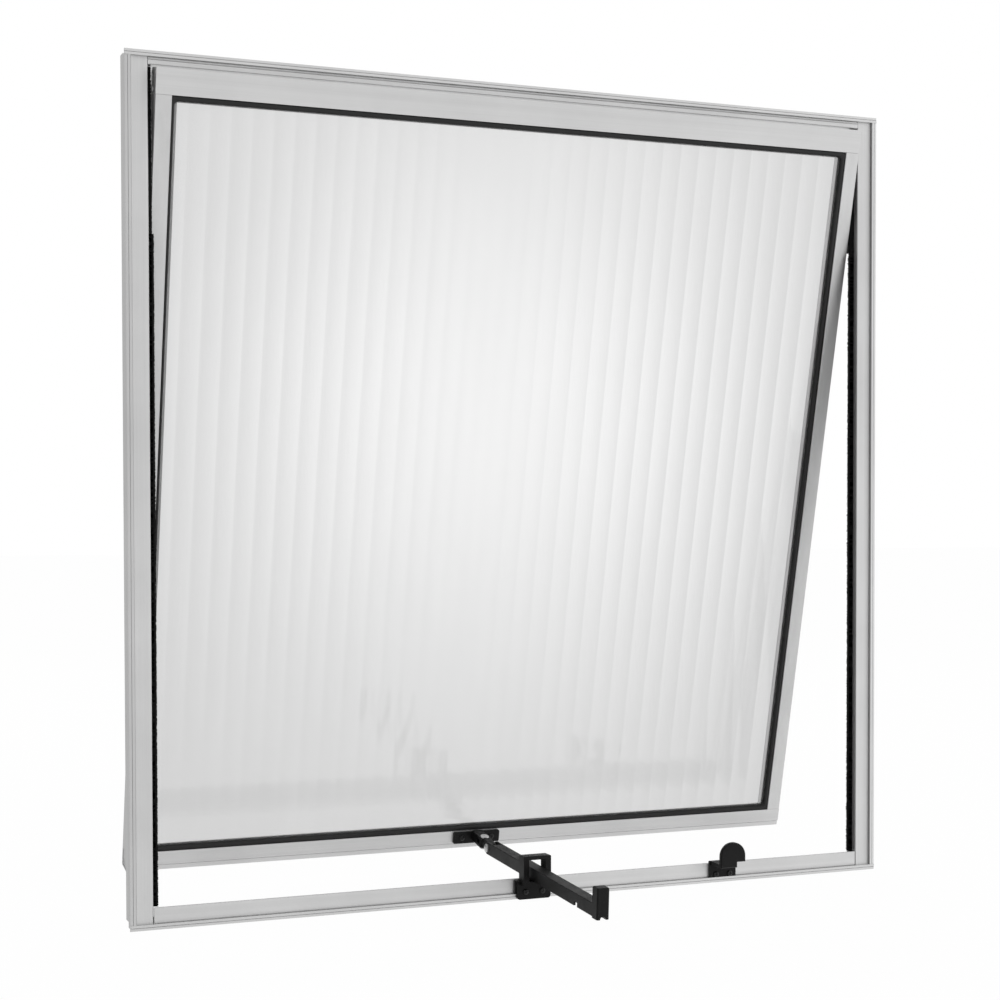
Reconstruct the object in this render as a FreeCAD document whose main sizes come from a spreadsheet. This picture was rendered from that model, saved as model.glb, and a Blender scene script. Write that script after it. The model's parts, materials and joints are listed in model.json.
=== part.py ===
import FreeCAD, Part
import os
import Sketcher

# All sizes in millimetres and degrees.
FRAME_SIZES = {
    "frame_width": 800, "frame_height": 800, "frame_depth": 30, "wall": 1.6,
    "lip_width": 5.3, "lip_stand": 3, "lip_over": 2, "lip_slant": 0.8, "lip_line": 0.5,
    "groove_wide": 0.8, "groove_deep": 0.9, "edge_bevel": 0.4, "joint_gap": 0.2,
    "jamb_width": 21.4, "head_height": 7.4,
    "sill_height": 20, "sill_back": 6, "sill_end_gap": 1,
    "strip_set": 6.6, "strip_wide": 4, "strip_deep": 3, "strip_play": 0.1, "strip_bevel": 0.5,
}
SASH_SIZES = {
    "sash_side_gap": 5, "sash_top_gap": 5.3, "sash_overlap": 7.3, "sash_depth": 22, "sash_face": 9.67,
    "sash_wall": 1.5, "port_dia": 6, "port_bore": 3.2,
    "top_rail_height": 23.6, "bottom_rail_height": 19.5, "stile_width": 15.3,
    "rail_chamfer": 5, "drip_height": 5.5, "drip_step": 1.2,
    "glazing_lip": 6, "glazing_lip_thick": 2,
    "glass_thick": 4, "glass_play": 1,
    "gasket_wide": 5.2, "gasket_left": 2.9, "gasket_set": 0.5, "gasket_thick": 3.5, "gasket_round": 4,
}
HINGE_SIZES = {
    "open_angle": 12.25, "hinge_drop": 116.3, "hinge_in": 10.13,
    "pin_dia": 5, "pin_reach": 7, "pivot_wall": 1, "pivot_wide": 12, "pivot_high": 24, "pivot_round": 1.5,
    "bush_play": 0.1, "bush_wall": 1.6, "bush_depth": 9,
}
STAY_SIZES = {
    "plate_wide": 52, "plate_high": 12.5, "plate_thick": 3, "plate_drop": 0.8,
    "plate_screw_at": 16.8, "plate_round": 1.5,
    "lug_wide": 11, "lug_high": 10.4, "lug_rise": 1.8, "lug_reach": 24, "lug_slot": 4.4,
    "tongue_play": 0.2, "pin_play": 0.05, "swivel_dia": 5,
    "rivet_head": 9, "rivet_head_thick": 1.2,
    "block_wide": 7, "block_high": 9, "block_gap": 1, "arm_reach": 47, "arm_pin_rise": 2.5,
    "arm_wide": 12.5, "arm_high": 12.5, "arm_wall": 2, "arm_length": 251, "arm_pitch": 3.3,
    "arm_pin_dia": 5, "arm_slot_length": 14, "arm_round": 0.8,
    "post_thick": 10.5, "post_high": 28, "post_foot": 1.5, "post_round": 1.6, "arch_dia": 6,
    "notch_at": 212, "notch_wide": 7, "notch_deep": 4,
}
GUIDE_SIZES = {
    "guide_wide": 36, "guide_thick": 3.5, "loop_wide": 29.4, "loop_depth": 12, "loop_top": 44,
    "loop_low": 14.5, "slot_wide": 17.8, "slot_low": 18.5, "slot_top": 40.2, "packer_over": 1.5,
    "guide_screw_at": 9, "guide_screw_up": 7.5, "guide_round": 3, "loop_round": 1.2,
}
KEEPER_SIZES = {
    "keeper_at": 215, "keeper_wide": 30.5, "keeper_thick": 3, "keeper_round": 1,
    "shelf_top": 22.4, "shelf_thick": 4, "shelf_reach": 18, "shelf_wide": 19,
    "tab_wide": 28.6, "tab_thick": 4, "tab_low": 24, "tab_top": 44.2, "tab_crown": 14, "tab_bevel": 0.9,
    "keeper_screw_at": 8, "keeper_screw_up": 3.3,
}
SCREW_SIZES = {
    "screw_dia": 6, "screw_crown": 4, "screw_head": 1.6, "screw_shank": 3, "screw_length": 6,
    "guide_screw_length": 9.5,
}
SIZES = {}
for group in (FRAME_SIZES, SASH_SIZES, HINGE_SIZES, STAY_SIZES, GUIDE_SIZES, KEEPER_SIZES,
              SCREW_SIZES):
    SIZES.update(group)

doc = FreeCAD.newDocument("AwningWindow")
sheet = doc.addObject("Spreadsheet::Sheet", "Sizes")
for row, (name, value) in enumerate(SIZES.items(), start=1):
    sheet.set("A%d" % row, name)
    sheet.set("B%d" % row, str(value))
    sheet.setAlias("B%d" % row, name)
doc.recompute()

# Which way a sketch faces: its pad grows along +X, -Y or +Z.
ALONG_X = FreeCAD.Rotation(FreeCAD.Vector(1, 1, 1), 120)
ALONG_Y = FreeCAD.Rotation(FreeCAD.Vector(1, 0, 0), 90)
ALONG_Z = FreeCAD.Rotation()
X_WAY = FreeCAD.Vector(1, 0, 0)
Y_WAY = FreeCAD.Vector(0, 1, 0)
Z_WAY = FreeCAD.Vector(0, 0, 1)

# Places shared by several pieces. The frame is placed from the middle of the sill's underside.
FRONT_Y = "( 0 - frame_depth / 2 )"
FACE_Y = "( lip_stand - frame_depth / 2 )"
BACK_Y = "( frame_depth / 2 )"
INNER_X = "( frame_width / 2 - jamb_width )"
HEAD_LOW = "( frame_height - head_height )"
LIP_LOW = "( frame_height - lip_width )"
HINGE_Y = "( lip_stand - frame_depth / 2 + sash_face + hinge_in )"
HINGE_Z = "( frame_height - head_height - sash_top_gap - hinge_drop )"
JAMB_BACK = "( %s - pin_dia / 2 - pivot_wall )" % HINGE_Y
SLOT_FRONT = "( %s + strip_set - strip_play )" % FACE_Y
SLOT_BACK = "( %s + strip_set + strip_wide + strip_play )" % FACE_Y
# The sash is placed from its hinge axis.
SASH_X = "( frame_width / 2 - jamb_width - sash_side_gap )"
GLASS_X = "( frame_width / 2 - jamb_width - sash_side_gap - stile_width )"
SASH_FACE = "( 0 - hinge_in )"
SASH_BACK = "( sash_depth - hinge_in )"
SASH_TOP = "hinge_drop"
SASH_LOW = "( hinge_drop + sash_top_gap + head_height + sill_height - sash_overlap - frame_height )"
GLASS_TOP = "( hinge_drop - top_rail_height )"
GLASS_LOW = "( %s + bottom_rail_height )" % SASH_LOW
GLASS_FRONT = "( gasket_set + gasket_thick - hinge_in )"
GLASS_BACK = "( gasket_set + gasket_thick + glass_thick - hinge_in )"
DRIP_TOP = "( %s + drip_height )" % SASH_LOW
PLATE_TOP = "( %s - plate_drop )" % GLASS_LOW
LUG_TOP = "( %s + lug_rise )" % PLATE_TOP
LUG_MID = "( %s - lug_high / 2 )" % LUG_TOP
SWIVEL_Y = "( 0 - hinge_in - lug_reach )"
ARM_PIN_Y = "( 0 - hinge_in - arm_reach )"
ARM_PIN_Z = "( %s + arm_pin_rise )" % LUG_MID

nodes = []


def sized(text):
    words = text.replace("(", " ( ").replace(")", " ) ").split()
    joined = " ".join("Sizes." + word if word in SIZES else word for word in words)
    return joined.replace("cos (", "cos(").replace("sin (", "sin(")


def bind(item, path, text):
    item.setExpression(path, sized(text))


def bind_place(item, start):
    for axis, text in zip("xyz", start):
        bind(item, "Placement.Base." + axis, text)


def node(label):
    body = doc.addObject("PartDesign::Body", label)
    body.Label = label
    nodes.append(body)
    return body


def hang_on_sash(item):
    item.Placement = FreeCAD.Placement(FreeCAD.Vector(), FreeCAD.Rotation(X_WAY, 1))
    bind_place(item, ("0", HINGE_Y, HINGE_Z))
    bind(item, "Placement.Rotation.Angle", "open_angle")


def hang_on_arm_pin(item):
    item.Placement = FreeCAD.Placement(FreeCAD.Vector(), FreeCAD.Rotation(X_WAY, 1))
    across = "%s + %s * cos ( open_angle ) - %s * sin ( open_angle )" % (HINGE_Y, ARM_PIN_Y, ARM_PIN_Z)
    up = "%s + %s * sin ( open_angle ) + %s * cos ( open_angle )" % (HINGE_Z, ARM_PIN_Y, ARM_PIN_Z)
    bind_place(item, ("0", across, up))
    bind(item, "Placement.Rotation.Angle", "arm_pitch")


def pin_corner(sketch, line, kind, text):
    index = sketch.addConstraint(Sketcher.Constraint(kind, -1, 1, line, 1, 1.0))
    label = "%s%d" % (kind[-1].lower(), line)
    sketch.renameConstraint(index, label)
    bind(sketch, "Constraints." + label, text)


def outline(body, name, turn, start, loops):
    sketch = body.newObject("Sketcher::SketchObject", body.Name + "_" + name)
    sketch.Placement = FreeCAD.Placement(FreeCAD.Vector(), turn)
    bind_place(sketch, start)
    first = 0
    for loop in loops:
        size = len(loop)
        for at in range(size):
            begin = FreeCAD.Vector(at, at * at, 0)
            end = FreeCAD.Vector(at + 1, at * at + 1, 0)
            sketch.addGeometry(Part.LineSegment(begin, end))
        for at in range(size):
            sketch.addConstraint(
                Sketcher.Constraint("Coincident", first + at, 2, first + (at + 1) % size, 1))
        for at, (across, up) in enumerate(loop):
            pin_corner(sketch, first + at, "DistanceX", across)
            pin_corner(sketch, first + at, "DistanceY", up)
        first += size
    return sketch


def pad(body, name, turn, start, loops, length):
    item = body.newObject("PartDesign::Pad", body.Name + "_" + name)
    item.Profile = outline(body, name + "_outline", turn, start, loops)
    bind(item, "Length", length)
    return item


def cut(body, name, turn, start, loops, length):
    item = body.newObject("PartDesign::Pocket", body.Name + "_" + name)
    item.Profile = outline(body, name + "_outline", turn, start, loops)
    item.Reversed = True
    bind(item, "Length", length)
    return item


def round_bar(body, name, kind, turn, start, diameter, length):
    item = body.newObject("PartDesign::%sCylinder" % kind, body.Name + "_" + name)
    item.Placement = FreeCAD.Placement(FreeCAD.Vector(), turn)
    bind_place(item, start)
    bind(item, "Radius", "( %s ) / 2" % diameter)
    bind(item, "Height", length)
    return item


def edges_where(item, test):
    doc.recompute()
    return ["Edge%d" % at for at, edge in enumerate(item.Shape.Edges, start=1) if test(edge)]


def runs(edge, axis):
    if edge.Degenerated or edge.Curve.TypeId != "Part::GeomLine":
        return False
    return abs(abs(edge.Curve.Direction.dot(axis)) - 1) < 1e-6


def soften(body, name, item, radius, test):
    fillet = body.newObject("PartDesign::Fillet", body.Name + "_" + name)
    fillet.Base = (item, edges_where(item, test))
    bind(fillet, "Radius", radius)
    return fillet


def bevel(body, name, item, size, test):
    chamfer = body.newObject("PartDesign::Chamfer", body.Name + "_" + name)
    chamfer.Base = (item, edges_where(item, test))
    bind(chamfer, "Size", size)
    return chamfer


def screw(name, start, length):
    head = doc.addObject("Part::Cone", name + "_head")
    bind(head, "Radius1", "screw_dia / 2")
    bind(head, "Radius2", "screw_crown / 2")
    bind(head, "Height", "screw_head")
    shank = doc.addObject("Part::Cylinder", name + "_shank")
    bind(shank, "Radius", "screw_shank / 2")
    bind(shank, "Height", length)
    bind(shank, "Placement.Base.z", "0 - " + length)
    whole = doc.addObject("Part::Fuse", name + "_whole")
    whole.Base = head
    whole.Tool = shank
    whole.Placement = FreeCAD.Placement(FreeCAD.Vector(), ALONG_Y)
    bind_place(whole, start)
    return whole


def screws(label, starts, length):
    pair = doc.addObject("Part::Compound", label)
    pair.Label = label
    pair.Links = [screw("%s_%d" % (label, at), start, length) for at, start in enumerate(starts)]
    nodes.append(pair)
    return pair


def box(x0, y0, x1, y1):
    return [(x0, y0), (x1, y0), (x1, y1), (x0, y1)]


def minus(text):
    return "( 0 - %s )" % text


def lip_outline(place):
    line_y = "%s + lip_slant / 2" % FRONT_Y
    return [
        (place("0"), FACE_Y), (place("0"), FRONT_Y + " + lip_slant"),
        (place("( lip_width - lip_line ) / 2"), line_y), (place("lip_width / 2"), line_y + " + lip_line"),
        (place("( lip_width + lip_line ) / 2"), line_y), (place("lip_width"), FRONT_Y),
        (place("lip_width"), FACE_Y),
    ]


def turned(loop):
    return [(up, across) for across, up in loop]


# Frame: head, sill and jambs are extrusions; the lips of head and sill run over the jambs.
head = node("head")
pad(head, "body", ALONG_X, ("joint_gap - " + INNER_X, "0", "0"), [
    [(FACE_Y, "frame_height - lip_over"), (FACE_Y, LIP_LOW), (FACE_Y + " + groove_deep", LIP_LOW),
     (FACE_Y + " + groove_deep", LIP_LOW + " - groove_wide"), (FACE_Y, LIP_LOW + " - groove_wide"),
     (FACE_Y, HEAD_LOW + " + edge_bevel"), (FACE_Y + " + edge_bevel", HEAD_LOW), (BACK_Y, HEAD_LOW),
     (BACK_Y, "frame_height - lip_over")],
    box(FACE_Y + " + wall", HEAD_LOW + " + wall", BACK_Y + " - wall", "frame_height - lip_over - wall"),
], "2 * ( %s - joint_gap )" % INNER_X)
pad(head, "lip", ALONG_X, ("0 - frame_width / 2", "0", "0"), [
    turned(lip_outline(lambda inward: "( frame_height - %s )" % inward)),
], "frame_width")

sill = node("sill")
pad(sill, "body", ALONG_X, ("sill_end_gap - " + INNER_X, "0", "0"), [[
    (FACE_Y, "0"), (BACK_Y, "0"), (BACK_Y, "sill_back"), (BACK_Y + " - wall", "sill_back"),
    (BACK_Y + " - wall", "wall"), (FACE_Y + " + wall", "wall"),
    (FACE_Y + " + wall", "sill_height"), (FACE_Y + " + edge_bevel", "sill_height"),
    (FACE_Y, "sill_height - edge_bevel"), (FACE_Y, "lip_width + groove_wide"),
    (FACE_Y + " + groove_deep", "lip_width + groove_wide"), (FACE_Y + " + groove_deep", "lip_width"),
    (FACE_Y, "lip_width"),
]], "2 * ( %s - sill_end_gap )" % INNER_X)
pad(sill, "lip", ALONG_X, ("0 - frame_width / 2", "0", "0"), [
    turned(lip_outline(lambda inward: inward)),
], "frame_width")
for place, at in (("left", "0 - guide_screw_at"), ("right", "guide_screw_at"),
                  ("keeper_left", "keeper_at - keeper_screw_at"),
                  ("keeper_right", "keeper_at + keeper_screw_at")):
    up = "guide_screw_up" if "keeper" not in place else "lip_width + keeper_screw_up"
    round_bar(sill, "screw_hole_" + place, "Subtractive", ALONG_Y,
              (at, FACE_Y + " + wall + 1", up), "screw_shank", "wall + lip_stand + 2")

hinge_y = SIZES["lip_stand"] - SIZES["frame_depth"] / 2 + SIZES["sash_face"] + SIZES["hinge_in"]
for side, sign in (("left", "0 - "), ("right", "0 + ")):
    inner = sign + INNER_X
    inner_wall = sign + "( %s + wall )" % INNER_X
    slot_floor = sign + "( %s + strip_deep )" % INNER_X
    slot_wall = sign + "( %s + strip_deep + wall )" % INNER_X
    outer = sign + "( frame_width / 2 - lip_over )"
    outer_wall = sign + "( frame_width / 2 - lip_over - wall )"
    lip_edge = sign + "( frame_width / 2 - lip_width )"
    groove_edge = sign + "( frame_width / 2 - lip_width - groove_wide )"
    jamb = node(side + "_jamb")
    pad(jamb, "body", ALONG_Z, ("0", "0", "0"), [
        [(outer, FACE_Y), (lip_edge, FACE_Y), (lip_edge, FACE_Y + " + groove_deep"),
         (groove_edge, FACE_Y + " + groove_deep"), (groove_edge, FACE_Y),
         (sign + "( %s + edge_bevel )" % INNER_X, FACE_Y), (inner, FACE_Y + " + edge_bevel"),
         (inner, SLOT_FRONT), (slot_floor, SLOT_FRONT), (slot_floor, SLOT_BACK), (inner, SLOT_BACK),
         (inner, JAMB_BACK), (outer, JAMB_BACK)],
        [(outer_wall, FACE_Y + " + wall"), (inner_wall, FACE_Y + " + wall"),
         (inner_wall, SLOT_FRONT + " - wall"), (slot_wall, SLOT_FRONT + " - wall"),
         (slot_wall, SLOT_BACK + " + wall"), (inner_wall, SLOT_BACK + " + wall"),
         (inner_wall, JAMB_BACK + " - wall"), (outer_wall, JAMB_BACK + " - wall")],
    ], "frame_height - lip_over")
    pad(jamb, "fin", ALONG_Z, ("0", "0", "lip_width"), [
        box(outer_wall, JAMB_BACK, outer, BACK_Y),
    ], "frame_height - lip_width")
    pad(jamb, "lip", ALONG_Z, ("0", "0", "lip_width"), [
        lip_outline(lambda inward: sign + "( frame_width / 2 - %s )" % inward),
    ], "frame_height - 2 * lip_width")

    strip = node(side + "_weather_strip")
    near = "( %s + strip_set )" % FACE_Y
    far = "( %s + strip_set + strip_wide )" % FACE_Y
    shoulder = sign + "( %s + strip_bevel )" % INNER_X
    pad(strip, "body", ALONG_Z, ("0", "0", "sill_height"), [[
        (slot_floor, near), (shoulder, near), (inner, near + " + strip_bevel"),
        (inner, far + " - strip_bevel"), (shoulder, far), (slot_floor, far),
    ]], HEAD_LOW + " - sash_top_gap - sill_height")

    # The pivot block sits on the back of the jamb and carries the pin that the sash turns on.
    pin = node(side + "_hinge_pin")
    pivot = pad(pin, "block", ALONG_X,
                (INNER_X if side == "right" else "0 - %s - pivot_wide" % INNER_X, "0", "0"), [
        box(JAMB_BACK, HINGE_Z + " - pivot_high / 2",
            HINGE_Y + " + pin_dia / 2 + pivot_wall", HINGE_Z + " + pivot_high / 2"),
    ], "pivot_wide")
    soften(pin, "block_corners", pivot, "pivot_round",
           lambda edge: runs(edge, X_WAY) and edge.CenterOfMass.y > hinge_y)
    begin = "( %s - pin_reach )" % SASH_X if side == "right" else minus(INNER_X)
    round_bar(pin, "shank", "Additive", ALONG_X, (begin, HINGE_Y, HINGE_Z), "pin_dia",
              "sash_side_gap + pin_reach")

    bush = node(side + "_hinge_bush")
    hang_on_sash(bush)
    begin = "( %s - bush_depth )" % SASH_X if side == "right" else minus(SASH_X)
    bush_dia = "pin_dia + 2 * bush_play + 2 * bush_wall"
    round_bar(bush, "ring", "Additive", ALONG_X, (begin, "0", "0"), bush_dia, "bush_depth")
    round_bar(bush, "bore", "Subtractive", ALONG_X, (begin + " - 1", "0", "0"),
              "pin_dia + 2 * bush_play", "bush_depth + 2")

    stile = node(side + "_stile")
    hang_on_sash(stile)
    length = "%s - %s - 2 * joint_gap" % (GLASS_TOP, GLASS_LOW)
    pad(stile, "body", ALONG_Z, ("0", "0", GLASS_LOW + " + joint_gap"), [
        [(sign + SASH_X, SASH_BACK), (sign + SASH_X, SASH_FACE + " + edge_bevel"),
         (sign + "( %s - edge_bevel )" % SASH_X, SASH_FACE),
         (sign + "( %s + edge_bevel )" % GLASS_X, SASH_FACE),
         (sign + GLASS_X, SASH_FACE + " + edge_bevel"), (sign + GLASS_X, SASH_BACK)],
        box(sign + "( %s - sash_wall )" % SASH_X, SASH_FACE + " + sash_wall",
            sign + "( %s + sash_wall )" % GLASS_X, SASH_BACK + " - sash_wall"),
    ], length)
    pad(stile, "glazing_lip", ALONG_Z, ("0", "0", GLASS_LOW + " + joint_gap"), [
        box(sign + GLASS_X, GLASS_BACK, sign + "( %s - glazing_lip )" % GLASS_X,
            GLASS_BACK + " + glazing_lip_thick"),
    ], length)
    begin = "( %s - sash_wall - 0.5 )" % SASH_X if side == "right" else "( 0 - %s - 0.5 )" % SASH_X
    round_bar(stile, "bush_hole", "Subtractive", ALONG_X, (begin, "0", "0"), bush_dia, "sash_wall + 1")

# Sash: top and bottom rails run over the stiles.
top_rail = node("top_rail")
hang_on_sash(top_rail)
pad(top_rail, "body", ALONG_X, (minus(SASH_X), "0", "0"), [
    [(SASH_FACE, GLASS_TOP), (SASH_BACK, GLASS_TOP), (SASH_BACK, SASH_TOP + " - rail_chamfer"),
     (SASH_BACK + " - rail_chamfer", SASH_TOP), (SASH_FACE + " + edge_bevel", SASH_TOP),
     (SASH_FACE, SASH_TOP + " - edge_bevel")],
    [(SASH_FACE + " + sash_wall", GLASS_TOP + " + sash_wall"),
     (SASH_BACK + " - sash_wall", GLASS_TOP + " + sash_wall"),
     (SASH_BACK + " - sash_wall", SASH_TOP + " - rail_chamfer - 0.414 * sash_wall"),
     (SASH_BACK + " - rail_chamfer - 0.414 * sash_wall", SASH_TOP + " - sash_wall"),
     (SASH_FACE + " + sash_wall", SASH_TOP + " - sash_wall")],
], "2 * " + SASH_X)
for place, across, up in (
        ("front", SASH_FACE + " + sash_wall + 0.4 * port_dia", SASH_TOP + " - sash_wall - 0.4 * port_dia"),
        ("back", SASH_BACK + " - sash_wall - 0.4 * port_dia", GLASS_TOP + " + sash_wall + 0.4 * port_dia")):
    round_bar(top_rail, place + "_port", "Additive", ALONG_X, (minus(SASH_X), across, up),
              "port_dia", "2 * " + SASH_X)
    round_bar(top_rail, place + "_port_bore", "Subtractive", ALONG_X, (minus(SASH_X), across, up),
              "port_bore", "2 * " + SASH_X)
pad(top_rail, "glazing_lip", ALONG_X, ("glazing_lip - " + GLASS_X, "0", "0"), [
    box(GLASS_BACK, GLASS_TOP + " - glazing_lip", GLASS_BACK + " + glazing_lip_thick", GLASS_TOP),
], "2 * ( %s - glazing_lip )" % GLASS_X)

bottom_rail = node("bottom_rail")
hang_on_sash(bottom_rail)
pad(bottom_rail, "body", ALONG_X, (minus(SASH_X), "0", "0"), [
    [(SASH_FACE, DRIP_TOP), (SASH_FACE + " + drip_step + groove_deep", DRIP_TOP),
     (SASH_FACE + " + drip_step + groove_deep", DRIP_TOP + " - groove_wide"),
     (SASH_FACE + " + drip_step", DRIP_TOP + " - groove_wide"),
     (SASH_FACE + " + drip_step", SASH_LOW + " + edge_bevel"),
     (SASH_FACE + " + drip_step + edge_bevel", SASH_LOW), (SASH_BACK, SASH_LOW), (SASH_BACK, GLASS_LOW),
     (SASH_FACE, GLASS_LOW)],
    box(SASH_FACE + " + drip_step + sash_wall", SASH_LOW + " + sash_wall",
        SASH_BACK + " - sash_wall", GLASS_LOW + " - sash_wall"),
], "2 * " + SASH_X)
port_y = SASH_BACK + " - sash_wall - 0.4 * port_dia"
port_z = SASH_LOW + " + sash_wall + 0.4 * port_dia"
round_bar(bottom_rail, "port", "Additive", ALONG_X, (minus(SASH_X), port_y, port_z),
          "port_dia", "2 * " + SASH_X)
round_bar(bottom_rail, "port_bore", "Subtractive", ALONG_X, (minus(SASH_X), port_y, port_z),
          "port_bore", "2 * " + SASH_X)
pad(bottom_rail, "glazing_lip", ALONG_X, ("glazing_lip - " + GLASS_X, "0", "0"), [
    box(GLASS_BACK, GLASS_LOW, GLASS_BACK + " + glazing_lip_thick", GLASS_LOW + " + glazing_lip"),
], "2 * ( %s - glazing_lip )" % GLASS_X)
for side, sign in (("left", "0 - "), ("right", "0 + ")):
    round_bar(bottom_rail, side + "_screw_hole", "Subtractive", ALONG_Y,
              (sign + "plate_screw_at", SASH_FACE + " + drip_step + sash_wall + 1",
               PLATE_TOP + " - plate_high / 2"), "screw_shank", "drip_step + sash_wall + 2")

pane = node("glass_pane")
hang_on_sash(pane)
pad(pane, "body", ALONG_Y, ("0", GLASS_BACK, "0"), [
    box("glass_play - " + GLASS_X, GLASS_LOW + " + glass_play",
        GLASS_X + " - glass_play", GLASS_TOP + " - glass_play"),
], "glass_thick")

gasket = node("glazing_gasket")
hang_on_sash(gasket)
ring = pad(gasket, "ring", ALONG_Y, ("0", GLASS_FRONT, "0"), [
    box(minus(GLASS_X), GLASS_LOW, GLASS_X, GLASS_TOP),
    box("gasket_left - " + GLASS_X, GLASS_LOW + " + gasket_wide",
        GLASS_X + " - gasket_wide", GLASS_TOP + " - gasket_wide"),
], "gasket_thick")
inner_x = (SIZES["frame_width"] / 2 - SIZES["jamb_width"] - SIZES["sash_side_gap"] - SIZES["stile_width"]
           - min(SIZES["gasket_wide"], SIZES["gasket_left"]) / 2)
soften(gasket, "inner_corners", ring, "gasket_round",
       lambda edge: runs(edge, Y_WAY) and abs(edge.CenterOfMass.x) < inner_x)

# Stay: bracket on the sash, swivel block on an upright rivet, arm on a level rivet.
bracket = node("sash_bracket")
hang_on_sash(bracket)
plate = pad(bracket, "plate", ALONG_Y, ("0", SASH_FACE, "0"), [
    box("0 - plate_wide / 2", PLATE_TOP + " - plate_high", "plate_wide / 2", PLATE_TOP),
], "plate_thick")
soften(bracket, "plate_corners", plate, "plate_round", lambda edge: runs(edge, Y_WAY))
pad(bracket, "lug", ALONG_Z, ("0", "0", LUG_TOP + " - lug_high"), [
    box("0 - lug_wide / 2", SWIVEL_Y, "lug_wide / 2", SASH_FACE + " - plate_thick"),
], "lug_high")
round_bar(bracket, "lug_end", "Additive", ALONG_Z, ("0", SWIVEL_Y, LUG_TOP + " - lug_high"),
          "lug_wide", "lug_high")
cut(bracket, "slot", ALONG_Z, ("0", "0", LUG_MID + " - lug_slot / 2"), [
    box("0 - lug_wide", SWIVEL_Y + " - lug_wide", "lug_wide", SWIVEL_Y + " + lug_wide / 2 + 0.5"),
], "lug_slot")
round_bar(bracket, "rivet_hole", "Subtractive", ALONG_Z, ("0", SWIVEL_Y, LUG_TOP + " - lug_high - 1"),
          "swivel_dia", "lug_high + 2")
for side, sign in (("left", "0 - "), ("right", "0 + ")):
    round_bar(bracket, side + "_screw_hole", "Subtractive", ALONG_Y,
              (sign + "plate_screw_at", SASH_FACE + " + 1", PLATE_TOP + " - plate_high / 2"),
              "screw_shank", "plate_thick + 2")
bracket_screws = screws("bracket_screws", [
    (sign + "plate_screw_at", SASH_FACE + " - plate_thick", PLATE_TOP + " - plate_high / 2")
    for sign in ("0 - ", "0 + ")], "screw_length")
hang_on_sash(bracket_screws)

rivet = node("swivel_rivet")
hang_on_sash(rivet)
round_bar(rivet, "shank", "Additive", ALONG_Z, ("0", SWIVEL_Y, LUG_TOP + " - lug_high - rivet_head_thick"),
          "swivel_dia", "lug_high + 2 * rivet_head_thick")
round_bar(rivet, "top_head", "Additive", ALONG_Z, ("0", SWIVEL_Y, LUG_TOP), "rivet_head", "rivet_head_thick")
round_bar(rivet, "low_head", "Additive", ALONG_Z,
          ("0", SWIVEL_Y, LUG_TOP + " - lug_high - rivet_head_thick"), "rivet_head", "rivet_head_thick")

block = node("swivel_block")
hang_on_sash(block)
pad(block, "tongue", ALONG_Z, ("0", "0", LUG_MID + " - lug_slot / 2 + tongue_play"), [
    box("0 - block_wide / 2", ARM_PIN_Y, "block_wide / 2", SWIVEL_Y),
], "lug_slot - 2 * tongue_play")
round_bar(block, "tongue_end", "Additive", ALONG_Z,
          ("0", SWIVEL_Y, LUG_MID + " - lug_slot / 2 + tongue_play"),
          "lug_wide - 1", "lug_slot - 2 * tongue_play")
pad(block, "cheek", ALONG_X, ("0 - block_wide / 2", "0", "0"), [
    box(ARM_PIN_Y, ARM_PIN_Z + " - block_high / 2",
        SWIVEL_Y + " - lug_wide / 2 - block_gap", ARM_PIN_Z + " + block_high / 2"),
], "block_wide")
round_bar(block, "cheek_end", "Additive", ALONG_X, ("0 - block_wide / 2", ARM_PIN_Y, ARM_PIN_Z),
          "block_high", "block_wide")
round_bar(block, "swivel_hole", "Subtractive", ALONG_Z, ("0", SWIVEL_Y, LUG_MID + " - lug_slot"),
          "swivel_dia", "2 * lug_slot")
round_bar(block, "arm_hole", "Subtractive", ALONG_X, ("0 - block_wide", ARM_PIN_Y, ARM_PIN_Z),
          "arm_pin_dia + 2 * pin_play", "2 * block_wide")

arm = node("stay_arm")
hang_on_arm_pin(arm)
side_view = pad(arm, "side", ALONG_X, ("0 - arm_wide / 2", "0", "0"), [[
    ("0", "0 - arm_high / 2"), ("0", "arm_high / 2"), ("0 - arm_length", "arm_high / 2"),
    ("0 - arm_length", "post_high - arm_high / 2"),
    ("0 - arm_length - post_thick", "post_high - arm_high / 2"),
    ("0 - arm_length - post_thick", "0 - arm_high / 2 - post_foot"),
    ("0 - arm_length", "0 - arm_high / 2 - post_foot"), ("0 - arm_length", "0 - arm_high / 2"),
    ("0 - notch_at - notch_wide", "0 - arm_high / 2"),
    ("0 - notch_at - notch_wide", "notch_deep - arm_high / 2"),
    ("0 - notch_at", "notch_deep - arm_high / 2"), ("0 - notch_at", "0 - arm_high / 2"),
]], "arm_wide")
post_low = 0 - SIZES["arm_length"] - SIZES["post_thick"] / 2
arm_top = SIZES["arm_high"] / 2
post = soften(arm, "post_edges", side_view, "post_round",
              lambda edge: edge.CenterOfMass.y < post_low and edge.CenterOfMass.z > 0 - arm_top / 2)
soften(arm, "top_edges", post, "arm_round",
       lambda edge: runs(edge, Y_WAY) and abs(edge.CenterOfMass.z - arm_top) < 1e-6)
round_bar(arm, "rear_end", "Additive", ALONG_X, ("0 - arm_wide / 2", "0", "0"), "arm_high", "arm_wide")
cut(arm, "channel", ALONG_Z, ("0", "0", "0 - arm_high"), [
    box("arm_wall - arm_wide / 2", "arm_wall - arm_length", "arm_wide / 2 - arm_wall", "arm_high"),
], "1.5 * arm_high - arm_wall")
cut(arm, "fork", ALONG_Z, ("0", "0", "0"), [
    box("arm_wall - arm_wide / 2", "0 - arm_slot_length", "arm_wide / 2 - arm_wall", "arm_high"),
], "arm_high")
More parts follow.
